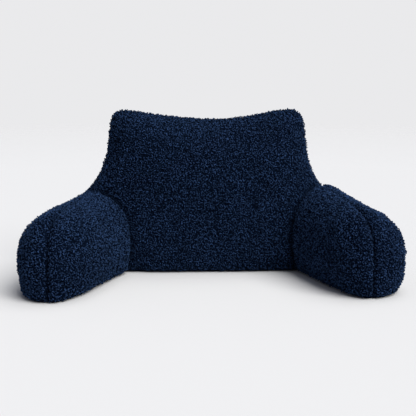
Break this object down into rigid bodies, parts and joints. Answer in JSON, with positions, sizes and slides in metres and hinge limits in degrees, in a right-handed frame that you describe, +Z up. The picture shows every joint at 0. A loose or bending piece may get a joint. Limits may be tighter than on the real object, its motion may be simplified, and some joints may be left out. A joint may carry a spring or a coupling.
{
  "type": "reading backrest cushion",
  "caption": "Stuffed teddy-fleece backrest with forward arms, standing on its flat base to support a sitter's back and elbows.",
  "frame": {"origin": "on the floor plane, in the middle of the cushion's bounding box", "axes": "+X to the right as seen from the front, along the cushion's width; -Y the way the arms point, towards the sitter's feet; +Z up"},
  "size_m": [0.8002, 0.4286, 0.3644],
  "materials": {
    "teddy_fleece": "short curly teddy pile, plain navy, matt with a faint sheen at the rim"
  },
  "bodies": {
    "root": {"backrest": "teddy_fleece", "arm_left": "teddy_fleece", "arm_right": "teddy_fleece"}
  },
  "joints": []
}
